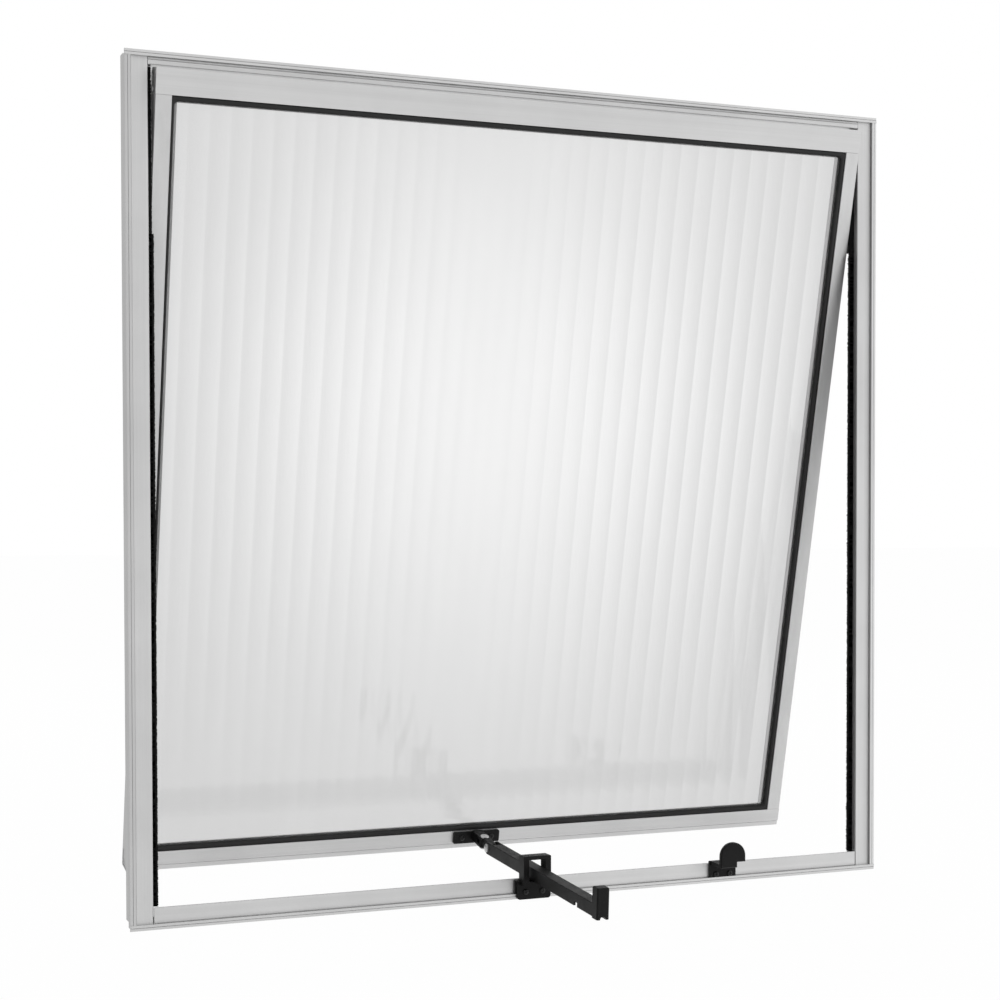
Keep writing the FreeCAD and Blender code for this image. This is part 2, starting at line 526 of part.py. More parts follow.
round_bar(arm, "post_arch", "Subtractive", ALONG_Y,
          ("0", "0 - arm_length + arm_wall", "0 - arm_high / 2 - post_foot"),
          "arch_dia", "post_thick + 2 * arm_wall")
round_bar(arm, "pin_hole", "Subtractive", ALONG_X, ("0 - arm_wide", "0", "0"), "arm_pin_dia", "2 * arm_wide")

arm_rivet = node("arm_rivet")
hang_on_arm_pin(arm_rivet)
round_bar(arm_rivet, "shank", "Additive", ALONG_X, ("0 - arm_wide / 2 - rivet_head_thick", "0", "0"),
          "arm_pin_dia", "arm_wide + 2 * rivet_head_thick")
for side, begin in (("left", "0 - arm_wide / 2 - rivet_head_thick"), ("right", "arm_wide / 2")):
    round_bar(arm_rivet, side + "_head", "Additive", ALONG_X, (begin, "0", "0"),
              "rivet_head", "rivet_head_thick")

# Guide: loop that the arm slides through, on a plate over the sill lip, with a packer behind it.
guide = node("guide_bracket")
plate = pad(guide, "plate", ALONG_Y, ("0", FRONT_Y, "0"), [
    box("0 - guide_wide / 2", "0", "guide_wide / 2", "slot_low"),
], "guide_thick")
low_half = SIZES["slot_low"] / 2
soften(guide, "plate_corners", plate, "guide_round",
       lambda edge: runs(edge, Y_WAY) and edge.CenterOfMass.z < low_half)
loop = pad(guide, "loop", ALONG_Y, ("0", FRONT_Y, "0"), [
    box("0 - loop_wide / 2", "loop_low", "loop_wide / 2", "loop_top"),
    box("0 - slot_wide / 2", "slot_low", "slot_wide / 2", "slot_top"),
], "loop_depth")
soften(guide, "loop_corners", loop, "loop_round",
       lambda edge: runs(edge, Y_WAY) and edge.CenterOfMass.z > SIZES["slot_top"] + 0.1)
for side, sign in (("left", "0 - "), ("right", "0 + ")):
    round_bar(guide, side + "_screw_hole", "Subtractive", ALONG_Y,
              (sign + "guide_screw_at", FRONT_Y + " + 1", "guide_screw_up"), "screw_shank", "guide_thick + 2")

packer = node("guide_packer")
pad(packer, "body", ALONG_Y, ("0", FACE_Y, "0"), [
    box("0 - guide_wide / 2 - packer_over", "lip_width", "guide_wide / 2", "slot_low"),
], "lip_stand")
for side, sign in (("left", "0 - "), ("right", "0 + ")):
    round_bar(packer, side + "_screw_hole", "Subtractive", ALONG_Y,
              (sign + "guide_screw_at", FACE_Y + " + 1", "guide_screw_up"), "screw_shank", "lip_stand + 2")
screws("guide_screws", [(sign + "guide_screw_at", FRONT_Y + " - guide_thick", "guide_screw_up")
                        for sign in ("0 - ", "0 + ")], "guide_screw_length")

# Keeper: plate on the sill face, shelf and round-topped tab that hold the folded arm.
keeper = node("keeper")
plate = pad(keeper, "plate", ALONG_Y, ("keeper_at", FACE_Y, "0"), [
    box("0 - keeper_wide / 2", "lip_width", "keeper_wide / 2", "shelf_top"),
], "keeper_thick")
soften(keeper, "plate_corners", plate, "keeper_round", lambda edge: runs(edge, Y_WAY))
pad(keeper, "shelf", ALONG_Y, ("keeper_at", FACE_Y + " - keeper_thick", "0"), [
    box("0 - tab_wide / 2", "shelf_top - shelf_thick", "shelf_wide - tab_wide / 2", "shelf_top"),
], "shelf_reach")
tab = pad(keeper, "tab", ALONG_Y, ("keeper_at", FACE_Y + " - keeper_thick - shelf_reach", "0"), [[
    ("0 - tab_wide / 2", "shelf_top - shelf_thick"), ("shelf_wide - tab_wide / 2", "shelf_top - shelf_thick"),
    ("shelf_wide - tab_wide / 2", "tab_low"), ("tab_wide / 2", "tab_low"), ("tab_wide / 2", "tab_top"),
    ("0 - tab_wide / 2", "tab_top"),
]], "tab_thick")
crown = soften(keeper, "tab_crown", tab, "tab_crown",
               lambda edge: runs(edge, Y_WAY) and abs(edge.CenterOfMass.z - SIZES["tab_top"]) < 1e-6)
doc.recompute()
tab_front = crown.Shape.BoundBox.YMin
bevel(keeper, "tab_rim", crown, "tab_bevel",
      lambda edge: abs(edge.CenterOfMass.y - tab_front) < 1e-6)
for side, sign in (("left", " - "), ("right", " + ")):
    round_bar(keeper, side + "_screw_hole", "Subtractive", ALONG_Y,
              ("keeper_at" + sign + "keeper_screw_at", FACE_Y + " + 1", "lip_width + keeper_screw_up"),
              "screw_shank", "keeper_thick + 2")
screws("keeper_screws", [
    ("keeper_at" + sign + "keeper_screw_at", FACE_Y + " - keeper_thick", "lip_width + keeper_screw_up")
    for sign in (" - ", " + ")], "screw_length")

doc.recompute()
faults = []
for item in doc.Objects:
    if "Invalid" in item.State or "Error" in item.State:
        faults.append(item.Name)
for item in nodes:
    if not item.Shape.isValid() or not item.Shape.Solids:
        faults.append(item.Label)
if faults:
    raise SystemExit("not well made: " + ", ".join(faults))
os.makedirs("parts", exist_ok=True)
for item in nodes:
    item.Shape.exportStep("parts/%s.step" % item.Label)
    print(item.Label, len(item.Shape.Solids), "solids", round(item.Shape.Volume), "mm3")
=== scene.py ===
import bmesh
import bpy
import json
import math
from mathutils import Matrix, Vector


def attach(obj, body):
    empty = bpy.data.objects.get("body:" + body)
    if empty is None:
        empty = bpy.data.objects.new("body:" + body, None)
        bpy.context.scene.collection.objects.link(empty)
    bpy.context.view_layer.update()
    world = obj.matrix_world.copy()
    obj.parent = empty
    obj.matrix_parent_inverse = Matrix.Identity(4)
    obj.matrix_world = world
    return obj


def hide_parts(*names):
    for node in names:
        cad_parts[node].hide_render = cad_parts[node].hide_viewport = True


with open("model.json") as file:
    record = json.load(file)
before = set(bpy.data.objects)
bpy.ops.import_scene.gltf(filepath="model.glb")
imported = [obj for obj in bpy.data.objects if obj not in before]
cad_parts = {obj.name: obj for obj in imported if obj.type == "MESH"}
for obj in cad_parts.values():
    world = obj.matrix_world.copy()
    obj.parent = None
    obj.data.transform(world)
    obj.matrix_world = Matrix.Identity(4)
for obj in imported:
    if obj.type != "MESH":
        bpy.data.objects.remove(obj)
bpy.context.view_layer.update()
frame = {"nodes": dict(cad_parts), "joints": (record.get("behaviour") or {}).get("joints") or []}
nodes = frame["nodes"]
mm = 0.001

# the sash hangs from its hinge axis, opened by the angle that the hinge can still close
sashHinge = next(joint for joint in frame["joints"] if joint["name"] == "sash_hinge")
openAngle = -math.radians(sashHinge["range_deg"][0])
hingeAt = Vector(sashHinge["pos_m"])
sashPlace = Matrix.Translation(hingeAt) @ Matrix.Rotation(openAngle, 4, "X")
framePlace = Matrix.Identity(4)


def carriedPoints(node, place):
    toPlace = place.inverted()
    return [toPlace @ vertex.co for vertex in nodes[node].data.vertices]


def boxAround(points):
    low = Vector([min(point[axis] for point in points) for axis in range(3)])
    high = Vector([max(point[axis] for point in points) for axis in range(3)])
    return low, high


print("frame loaded:", len(nodes), "nodes, sash open", round(math.degrees(openAngle), 2), "degrees")


# camera and studio

cameraSet = {
    "at": (-0.726, -1.651, 0.372), "near": 0.01, "far": 60,      # metres
    "yaw": 21.46, "pitch": 1.46, "roll": -0.14,      # degrees: to the right, down, about its own axis
    "lens": 65.27, "sensor": 36.0,      # mm
    "shiftX": 0.046, "shiftY": 0.069,      # shares of the picture's width
}


def makeCamera(s):
    yaw, pitch, roll = (math.radians(s[key]) for key in ("yaw", "pitch", "roll"))
    ahead = Vector((math.sin(yaw) * math.cos(pitch), math.cos(yaw) * math.cos(pitch), -math.sin(pitch)))
    level = Vector((math.cos(yaw), -math.sin(yaw), 0))
    upright = level.cross(ahead)
    right = level * math.cos(roll) + upright * math.sin(roll)
    up = upright * math.cos(roll) - level * math.sin(roll)
    data = bpy.data.cameras.new("photoCamera")
    data.sensor_width = s["sensor"]
    data.lens = s["lens"]
    data.shift_x, data.shift_y = s["shiftX"], s["shiftY"]
    data.clip_start, data.clip_end = s["near"], s["far"]
    camera = bpy.data.objects.new("photoCamera", data)
    bpy.context.scene.collection.objects.link(camera)
    axes = Matrix((right, up, -ahead)).transposed().to_4x4()
    camera.matrix_world = Matrix.Translation(s["at"]) @ axes
    bpy.context.scene.camera = camera


studioSet = {
    "roomLight": 0.62,      # on diffuse surfaces, from all round
    "mirrorLevel": 0.985, "mirrorRight": 0.44, "mirrorUp": 0.03,      # in metal, with its slopes
    "glassLevel": 0.675, "poolRise": 0.30, "poolSpread": 0.164,      # through glass: a soft pool, radians
    "poolTowards": (0.386, 0.920, 0.066),
    "floorSize": 40.0, "floorDrop": 0.0005,      # metres
    "floorColour": 0.86, "floorGlow": 0.98,
    "lamps": {
        # name: place, aim, size in metres, spread in degrees, watts
        "keyLamp": ((-1.7, -2.2, 2.3), (0.0, 0.0, 0.45), 1.8, 180, 14.0),
        "fillLamp": ((2.2, -1.9, 1.3), (0.0, 0.0, 0.40), 1.8, 180, 10.0),
        "lowLamp": ((0.5, -1.9, 0.30), (0.1, 0.1, 0.10), 0.9, 180, 4.0),
        "backLamp": ((0.6, 2.4, 2.0), (0.0, 0.1, 0.40), 1.8, 180, 16.0),
    },
}


def feed(tree, socket, value):
    if isinstance(value, bpy.types.NodeSocket):
        tree.links.new(value, socket)
    else:
        socket.default_value = value


def mathNode(tree, operation, *values):
    node = tree.nodes.new("ShaderNodeMath")
    node.operation = operation
    for socket, value in zip(node.inputs, values):
        feed(tree, socket, value)
    return node.outputs[0]


def makeWorld(s):
    world = bpy.data.worlds.new("whiteRoom")
    world.use_nodes = True
    bpy.context.scene.world = world
    tree = world.node_tree
    background = tree.nodes["Background"]
    background.inputs["Color"].default_value = (1, 1, 1, 1)
    direction = tree.nodes.new("ShaderNodeTexCoord").outputs["Generated"]
    where = tree.nodes.new("ShaderNodeSeparateXYZ")
    tree.links.new(direction, where.inputs[0])
    toRight = mathNode(tree, "MULTIPLY", where.outputs["X"], s["mirrorRight"])
    toTop = mathNode(tree, "MULTIPLY", where.outputs["Z"], s["mirrorUp"])
    mirrored = mathNode(tree, "ADD", mathNode(tree, "ADD", toRight, toTop), s["mirrorLevel"])
    facing = tree.nodes.new("ShaderNodeVectorMath")
    facing.operation = "DOT_PRODUCT"
    facing.inputs[1].default_value = Vector(s["poolTowards"]).normalized()
    tree.links.new(direction, facing.inputs[0])
    # for small angles 1 less the cosine is half the angle squared, so the pool fades as a bell curve
    away = mathNode(tree, "SUBTRACT", 1.0, facing.outputs["Value"])
    fading = mathNode(tree, "POWER", math.e, mathNode(tree, "MULTIPLY", away, -2 / s["poolSpread"] ** 2))
    through = mathNode(tree, "ADD", mathNode(tree, "MULTIPLY", fading, s["poolRise"]), s["glassLevel"])
    path = tree.nodes.new("ShaderNodeLightPath").outputs
    level = s["roomLight"]
    # rays through rough glass count as glossy too, so they come last
    for share, value in ((path["Is Camera Ray"], 1.0), (path["Is Glossy Ray"], mirrored),
                         (path["Is Transmission Ray"], through)):
        mix = tree.nodes.new("ShaderNodeMix")
        feed(tree, mix.inputs["Factor"], share)
        feed(tree, mix.inputs["A"], level)
        feed(tree, mix.inputs["B"], value)
        level = mix.outputs["Result"]
    tree.links.new(level, background.inputs["Strength"])


def makeFloor(s):
    half = s["floorSize"] / 2
    mesh = bpy.data.meshes.new("paleFloor")
    corners = [(-half, -half), (half, -half), (half, half), (-half, half)]
    mesh.from_pydata([(x, y, -s["floorDrop"]) for x, y in corners], [], [(0, 1, 2, 3)])
    floor = bpy.data.objects.new("paleFloor", mesh)
    floor.visible_glossy = False
    floor.visible_transmission = False
    bpy.context.scene.collection.objects.link(floor)
    paper = bpy.data.materials.new("floorPaper")
    paper.use_nodes = True
    tree = paper.node_tree
    tree.nodes.clear()
    diffuse = tree.nodes.new("ShaderNodeBsdfDiffuse")
    diffuse.inputs["Color"].default_value = (s["floorColour"],) * 3 + (1,)
    glow = tree.nodes.new("ShaderNodeEmission")
    seen = tree.nodes.new("ShaderNodeLightPath").outputs["Is Camera Ray"]
    mix = tree.nodes.new("ShaderNodeMixShader")
    tree.links.new(mathNode(tree, "MULTIPLY", seen, s["floorGlow"]), mix.inputs["Fac"])
    tree.links.new(diffuse.outputs[0], mix.inputs[1])
    tree.links.new(glow.outputs[0], mix.inputs[2])
    out = tree.nodes.new("ShaderNodeOutputMaterial")
    tree.links.new(mix.outputs[0], out.inputs["Surface"])
    mesh.materials.append(paper)


def makeLamps(s):
    for name, (at, aim, size, spread, watts) in s["lamps"].items():
        data = bpy.data.lights.new(name, "AREA")
        data.shape = "DISK"
        data.size = size
        data.spread = math.radians(spread)
        data.energy = watts
        lamp = bpy.data.objects.new(name, data)
        lamp.location = at
        lamp.rotation_euler = (Vector(aim) - Vector(at)).to_track_quat("-Z", "Y").to_euler()
        lamp.visible_camera = False
        lamp.visible_glossy = False
        lamp.visible_transmission = False
        bpy.context.scene.collection.objects.link(lamp)


makeCamera(cameraSet)
bpy.context.scene.view_settings.view_transform = "Standard"
makeWorld(studioSet)
makeFloor(studioSet)
makeLamps(studioSet)
print("camera, floor and lamps placed")


# finishes: each noise is given by its scale and detail, each bump by its strength and depth in metres

noiseSet = {"low": 0.3, "high": 0.7, "rough": 0.55}      # most of a noise lies between low and high


class Finish:
    def __init__(self, name):
        self.material = bpy.data.materials.new(name)
        self.material.use_nodes = True
        self.tree = self.material.node_tree
        self.shader = self.tree.nodes["Principled BSDF"]

    def set(self, **values):
        for socket, value in values.items():
            self.shader.inputs[socket.replace("_", " ")].default_value = value

    def add(self, kind, **values):
        node = self.tree.nodes.new("ShaderNode" + kind)
        for socket, value in values.items():
            node.inputs[socket.replace("_", " ")].default_value = value
        return node

    def link(self, source, target):
        self.tree.links.new(source, target)

    def place(self, scale=(1, 1, 1), turn=0.0):
        where = self.add("TexCoord")
        mapping = self.add("Mapping", Rotation=(turn, 0, 0), Scale=scale)
        self.link(where.outputs["Object"], mapping.inputs["Vector"])
        return mapping.outputs["Vector"]

    def noise(self, vector, grain):
        scale, detail = grain
        node = self.add("TexNoise", Scale=scale, Detail=detail, Roughness=noiseSet["rough"])
        self.link(vector, node.inputs["Vector"])
        return node.outputs["Fac"]

    def spread(self, value, low, high):
        node = self.add("MapRange", From_Min=noiseSet["low"], From_Max=noiseSet["high"],
                        To_Min=low, To_Max=high)
        self.link(value, node.inputs["Value"])
        return node.outputs["Result"]

    def ramp(self, value, dark, light):
        node = self.add("ValToRGB")
        ends = ((noiseSet["low"], dark), (noiseSet["high"], light))
        for element, (position, grey) in zip(node.color_ramp.elements, ends):
            element.position = position
            element.color = (grey, grey, grey, 1)
        self.link(value, node.inputs["Fac"])
        return node.outputs["Color"]

    def sum(self, first, second):
        return mathNode(self.tree, "ADD", first, second)

    def cover(self, tone, s):
        self.link(self.ramp(tone, s["dark"], s["light"]), self.shader.inputs["Base Color"])

    def roughen(self, wear, s):
        self.link(self.spread(wear, s["roughLow"], s["roughHigh"]), self.shader.inputs["Roughness"])

    def bump(self, height, s):
        strength, depth = s["bump"]
        node = self.add("Bump", Strength=strength, Distance=depth)
        self.link(height, node.inputs["Height"])
        self.link(node.outputs["Normal"], self.shader.inputs["Normal"])


aluminiumSet = {
    "metallic": 0.92, "specular": 0.5,
    "dark": 0.545, "light": 0.600, "roughLow": 0.44, "roughHigh": 0.56,
    "dieLines": (1700.0, 2.0), "dieBands": (160.0, 2.0), "cloud": (9.0, 4.0), "bump": (0.22, 0.00004),
    "dieStretch": 0.004, "bandTone": 0.12,      # scale along the lines, depth of the bands in the tone
}


def satinAluminium(name, along, turn, s):
    finish = Finish(name)
    finish.set(Metallic=s["metallic"], Specular_IOR_Level=s["specular"])
    stretch = tuple(s["dieStretch"] if axis == along else 1.0 for axis in "XYZ")
    lengthwise = finish.place(stretch, turn)
    lines = finish.noise(lengthwise, s["dieLines"])
    bands = finish.noise(lengthwise, s["dieBands"])
    cloud = finish.noise(finish.place(), s["cloud"])
    finish.cover(finish.sum(cloud, finish.spread(bands, -s["bandTone"], s["bandTone"])), s)
    finish.roughen(lines, s)
    finish.bump(finish.sum(lines, bands), s)
    return finish.material


rubberSet = {
    "specular": 0.3, "dark": 0.006, "light": 0.014, "roughLow": 0.42, "roughHigh": 0.60,
    "fine": (1400.0, 3.0), "coarse": (30.0, 4.0), "bump": (0.35, 0.00006),
}
stripSet = dict(rubberSet, specular=0.08, dark=0.003, light=0.007)
nylonSet = dict(rubberSet, specular=0.4, roughLow=0.3, roughHigh=0.42)
paintSet = {
    "specular": 0.13, "dark": 0.004, "light": 0.009, "roughLow": 0.36, "roughHigh": 0.48,
    "fine": (620.0, 2.0), "coarse": (45.0, 5.0), "bump": (0.30, 0.00008),
}
screwPaintSet = dict(paintSet, specular=0.3, roughLow=0.24, roughHigh=0.36)


def blackSurface(name, s):
    finish = Finish(name)
    finish.set(Specular_IOR_Level=s["specular"])
    fine = finish.noise(finish.place(), s["fine"])
    coarse = finish.noise(finish.place(), s["coarse"])
    finish.cover(coarse, s)
    finish.roughen(coarse, s)
    finish.bump(fine, s)
    return finish.material


steelSet = {
    "metallic": 1.0, "dark": 0.52, "light": 0.66, "roughLow": 0.22, "roughHigh": 0.38,
    "turning": (2600.0, 3.0), "bump": (0.2, 0.00003),
}


def brightSteel(name, s):
    finish = Finish(name)
    finish.set(Metallic=s["metallic"])
    turning = finish.noise(finish.place(), s["turning"])
    finish.cover(turning, s)
    finish.roughen(turning, s)
    finish.bump(turning, s)
    return finish.material


glassFinishSet = {
    "transmission": 0.95, "ior": 1.5, "specular": 0.2,
    "dark": 0.95, "light": 0.97, "roughLow": 0.05, "roughHigh": 0.09,
    "roll": (26.0, 3.0), "rollStretch": 0.18,      # noise, and its scale along the flutes
}


def flutedGlass(name, s):
    finish = Finish(name)
    finish.set(Transmission_Weight=s["transmission"], IOR=s["ior"], Specular_IOR_Level=s["specular"])
    rolled = finish.noise(finish.place((1, 1, s["rollStretch"]), openAngle), s["roll"])
    finish.cover(rolled, s)
    finish.roughen(rolled, s)
    return finish.material


frameUpright = satinAluminium("frameAluminiumUpright", "Z", 0.0, aluminiumSet)
frameLevel = satinAluminium("frameAluminiumLevel", "X", 0.0, aluminiumSet)
sashUpright = satinAluminium("sashAluminiumUpright", "Z", -openAngle, aluminiumSet)
sashLevel = satinAluminium("sashAluminiumLevel", "X", -openAngle, aluminiumSet)
gasketRubber = blackSurface("gasketRubber", rubberSet)
stripRubber = blackSurface("stripRubber", stripSet)
stayPaint = blackSurface("stayPaint", paintSet)
screwPaint = blackSurface("screwPaint", screwPaintSet)
nylon = blackSurface("blackNylon", nylonSet)
rivetSteel = brightSteel("rivetSteel", steelSet)
paneGlass = flutedGlass("paneGlass", glassFinishSet)
print("finishes made")

cadFinish = {
    "left_jamb": frameUpright, "right_jamb": frameUpright, "head": frameLevel, "sill": frameLevel,
    "left_stile": sashUpright, "right_stile": sashUpright, "top_rail": sashLevel, "bottom_rail": sashLevel,
    "left_weather_strip": stripRubber, "right_weather_strip": stripRubber,
    "left_hinge_pin": stayPaint, "right_hinge_pin": stayPaint,
    "left_hinge_bush": nylon, "right_hinge_bush": nylon,
    "sash_bracket": stayPaint, "swivel_block": stayPaint, "stay_arm": stayPaint,
    "guide_bracket": stayPaint, "guide_packer": nylon, "keeper": stayPaint,
    "swivel_rivet": rivetSteel, "arm_rivet": rivetSteel,
    "bracket_screws": screwPaint, "guide_screws": screwPaint, "keeper_screws": screwPaint,
}
for node, material in cadFinish.items():
    mesh = nodes[node].data
    mesh.materials.clear()
    mesh.materials.append(material)
print("finishes on", len(cadFinish), "carried pieces")


# shared tools for new pieces

def addPiece(name, mesh, body, replaced=()):
    piece = bpy.data.objects.new(name, mesh)
    bpy.context.scene.collection.objects.link(piece)
    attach(piece, body)
    if replaced:
        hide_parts(*replaced)


def settle(mesh, place):
    mesh.transform(place)
    shape = bmesh.new()
    shape.from_mesh(mesh)
    bmesh.ops.recalc_face_normals(shape, faces=shape.faces)
    shape.to_mesh(mesh)
    shape.free()


def smooth(mesh, creaseAngle):
    mesh.shade_smooth()
    mesh.set_sharp_from_angle(angle=math.radians(creaseAngle))


class TreeMaker:
    def __init__(self, name, floats, ints=(), onPoints=False):
        self.tree = bpy.data.node_groups.new(name, "GeometryNodeTree")
        inputs = [("Geometry", "Geometry")] if onPoints else []
        inputs += [(label, "Float") for label in floats] + [(label, "Int") for label in ints]
        for label, kind in inputs + [("Material", "Material")]:
            self.tree.interface.new_socket(label, in_out="INPUT", socket_type="NodeSocket" + kind)
        self.tree.interface.new_socket("Geometry", in_out="OUTPUT", socket_type="NodeSocketGeometry")
        self.given = self.tree.nodes.new("NodeGroupInput").outputs
        self.out = self.tree.nodes.new("NodeGroupOutput")

    def add(self, kind, values=(), **settings):
        node = self.tree.nodes.new(kind)
        for key, value in settings.items():
            setattr(node, key, value)
        for label, value in dict(values).items():
            feed(self.tree, self.pick(node.inputs, label), value)
        return node

    def pick(self, sockets, label):
        return next(socket for socket in sockets if socket.name == label and socket.enabled)

    def random(self, low, high, seed):
        node = self.add("FunctionNodeRandomValue", {"Min": low, "Max": high, "Seed": seed},
                        data_type="FLOAT")
        return self.pick(node.outputs, "Value")

    def join(self, *parts):
        node = self.add("GeometryNodeJoinGeometry")
        for part in parts:
            self.tree.links.new(part, node.inputs[0])
        return node.outputs[0]

    def math(self, operation, *values):
        return mathNode(self.tree, operation, *values)

    def half(self, value):
        return self.math("MULTIPLY", value, 0.5)

    def minus(self, value):
        return self.math("MULTIPLY", value, -1.0)

    def vector(self, x=0.0, y=0.0, z=0.0):
        return self.add("ShaderNodeCombineXYZ", {"X": x, "Y": y, "Z": z}).outputs[0]

    def position(self):
        place = self.add("GeometryNodeInputPosition").outputs[0]
        return self.add("ShaderNodeSeparateXYZ", {"Vector": place}).outputs

    def move(self, shape, to):
        return self.add("GeometryNodeTransform", {"Geometry": shape, "Translation": to}).outputs[0]

    def block(self, size, middle):
        return self.move(self.add("GeometryNodeMeshCube", {"Size": size}).outputs["Mesh"], middle)

    def finish(self, geometry):
        realize = self.add("GeometryNodeRealizeInstances", {"Geometry": geometry})
        dressed = self.add("GeometryNodeSetMaterial", {
            "Geometry": realize.outputs[0], "Material": self.given["Material"]})
        self.tree.links.new(dressed.outputs[0], self.out.inputs[0])
        return self.tree


def growMesh(name, tree, values, points=()):
    holder = bpy.data.objects.new(name + "Holder", bpy.data.meshes.new(name + "Holder"))
    holder.data.from_pydata(points, [], [])
    bpy.context.scene.collection.objects.link(holder)
    modifier = holder.modifiers.new(name, "NODES")
    modifier.node_group = tree
    for socket in tree.interface.items_tree:
        if socket.in_out == "INPUT" and socket.name in values:
            modifier[socket.identifier] = values[socket.name]
    depsgraph = bpy.context.evaluated_depsgraph_get()
    mesh = bpy.data.meshes.new_from_object(holder.evaluated_get(depsgraph), depsgraph=depsgraph)
    mesh.name = name
    bpy.data.objects.remove(holder)
    return mesh


# fluted glass: hollow flutes on the room side with a ridge between two, flat behind

glassSet = {
    "pitch": 20.3, "phase": 3.6, "depth": 0.4, "weld": 0.001,      # mm
    "steps": 12, "creaseAngle": 2.5,      # columns on a flute, degrees
}


def fluteTree():
    maker = TreeMaker("fluteTree", (
        "Width", "Height", "Thickness", "Pitch", "Phase", "Depth", "Weld"), ["Columns"])
    given = maker.given
    half = maker.half(given["Width"])
    line = maker.add("GeometryNodeMeshLine", {
        "Count": given["Columns"], "Start Location": maker.vector(maker.minus(half)),
        "Offset": maker.vector(half)}, mode="END_POINTS")
    across = maker.position()["X"]
    share = maker.math("FRACT", maker.math(
        "DIVIDE", maker.math("SUBTRACT", across, given["Phase"]), given["Pitch"]))
    # a parabola over each flute that is 1 at its middle
    arch = maker.math("MULTIPLY", maker.math("MULTIPLY", share, maker.math("SUBTRACT", 1.0, share)), 4.0)
    sink = maker.math("MULTIPLY", arch, given["Depth"])
    waved = maker.add("GeometryNodeSetPosition", {
        "Geometry": line.outputs[0], "Offset": maker.vector(y=sink)})
    strip = maker.add("GeometryNodeExtrudeMesh", {
        "Mesh": waved.outputs[0], "Offset": maker.vector(y=given["Thickness"]), "Offset Scale": 1.0},
        mode="EDGES")
    flat = maker.add("GeometryNodeSetPosition", {
        "Geometry": strip.outputs["Mesh"], "Selection": strip.outputs["Top"],
        "Position": maker.vector(across, given["Thickness"])})
    lift = maker.add("GeometryNodeExtrudeMesh", {
        "Mesh": flat.outputs[0], "Offset": maker.vector(z=given["Height"]), "Offset Scale": 1.0,
        "Individual": False}, mode="FACES")
    base = maker.add("GeometryNodeFlipFaces", {"Mesh": flat.outputs[0]})
    whole = maker.add("GeometryNodeMergeByDistance", {
        "Geometry": maker.join(lift.outputs["Mesh"], base.outputs[0]), "Distance": given["Weld"]})
    return maker.finish(whole.outputs[0])


def makeGlass(s):
    low, high = boxAround(carriedPoints("glass_pane", sashPlace))
    size = high - low
    columns = round(size.x / (s["pitch"] * mm) * s["steps"]) + 1
    mesh = growMesh("glassPane", fluteTree(), {
        "Width": size.x, "Height": size.z, "Thickness": size.y, "Pitch": s["pitch"] * mm,
        "Phase": s["phase"] * mm, "Depth": s["depth"] * mm, "Weld": s["weld"] * mm,
        "Columns": columns, "Material": paneGlass})
    settle(mesh, sashPlace @ Matrix.Translation(((low.x + high.x) / 2, low.y, low.z)))
    smooth(mesh, s["creaseAngle"])
    addPiece("glassPane", mesh, "sash", ["glass_pane"])


makeGlass(glassSet)
print("fluted glass made")


# glazing gasket: a bead with square outer and round inner corners, slimmer on the left

gasketSet = {
    # the bead's outline: share of the width inwards, mm back from the crown
    "bead": ((0, 2.2), (0.05, 0.9), (0.16, 0.2), (0.32, 0.0),
             (0.62, 0.0), (0.80, 0.3), (0.94, 1.2), (1, 2.4)),
    "wide": 5.2, "leftWide": 2.9, "outerRound": 0.2, "innerRound": 4.0,      # mm
    "cornerSteps": 8, "creaseAngle": 50.0,      # degrees
}


def roundLoop(left, right, low, high, radius, steps):
    # the middle of each corner, and the angle where its quarter turn starts
    corners = ((right - radius, low + radius, -90), (right - radius, high - radius, 0),
               (left + radius, high - radius, 90), (left + radius, low + radius, 180))
    loop = []
    for x, z, start in corners:
        for step in range(steps + 1):
            angle = math.radians(start + 90 * step / steps)
            loop.append((x + radius * math.cos(angle), z + radius * math.sin(angle)))
    return loop


def makeGasket(s):
    low, high = boxAround(carriedPoints("glazing_gasket", sashPlace))
    thick = (high.y - low.y) / mm
    points = []
    rings = list(s["bead"]) + [(1, thick), (0, thick)]
    for share, back in rings:
        side, left = share * s["wide"] * mm, share * s["leftWide"] * mm
        radius = (s["outerRound"] + share * (s["innerRound"] - s["outerRound"])) * mm
        loop = roundLoop(low.x + left, high.x - side, low.z + side, high.z - side, radius, s["cornerSteps"])
        points += [(x, low.y + back * mm, z) for x, z in loop]
    count = len(points) // len(rings)
    faces = []
    for ring in range(len(rings)):
        here, there = ring * count, (ring + 1) % len(rings) * count
        for at in range(count):
            after = (at + 1) % count
            faces.append((here + at, here + after, there + after, there + at))
    mesh = bpy.data.meshes.new("gasketRing")
    mesh.from_pydata(points, [], faces)
    settle(mesh, sashPlace)
    smooth(mesh, s["creaseAngle"])
    mesh.materials.append(gasketRubber)
    addPiece("gasketRing", mesh, "sash", ["glazing_gasket"])


makeGasket(gasketSet)
print("glazing gasket made")


# pan-head screws with a cross recess, one at each carried screw, and domes on the rivet heads

domeSet = {
    "segments": 40, "rings": 24,
    "underShare": 0.1,      # share of its depth that the underside keeps
}
screwSet = {
    "radius": 3.0, "height": 1.7, "shankRadius": 1.5, "shankLength": 4.0,      # mm
    "recessLong": 3.4, "recessWide": 0.75, "recessDeep": 1.1,      # mm
    "carriedHead": 1.6,      # mm, from the front of a carried screw back to its seat
    "fullness": 0.55, "shankSides": 24, "seed": 4,
    "creaseAngle": 40.0,      # degrees
}
rivetSet = {
    "radius": 4.4, "height": 1.1, "fullness": 0.8,      # mm, and the power of the crown's curve
    "turn": {"X": math.pi / 2, "Z": 0.0},      # radians about Y, from upright to the rivet's axis
}


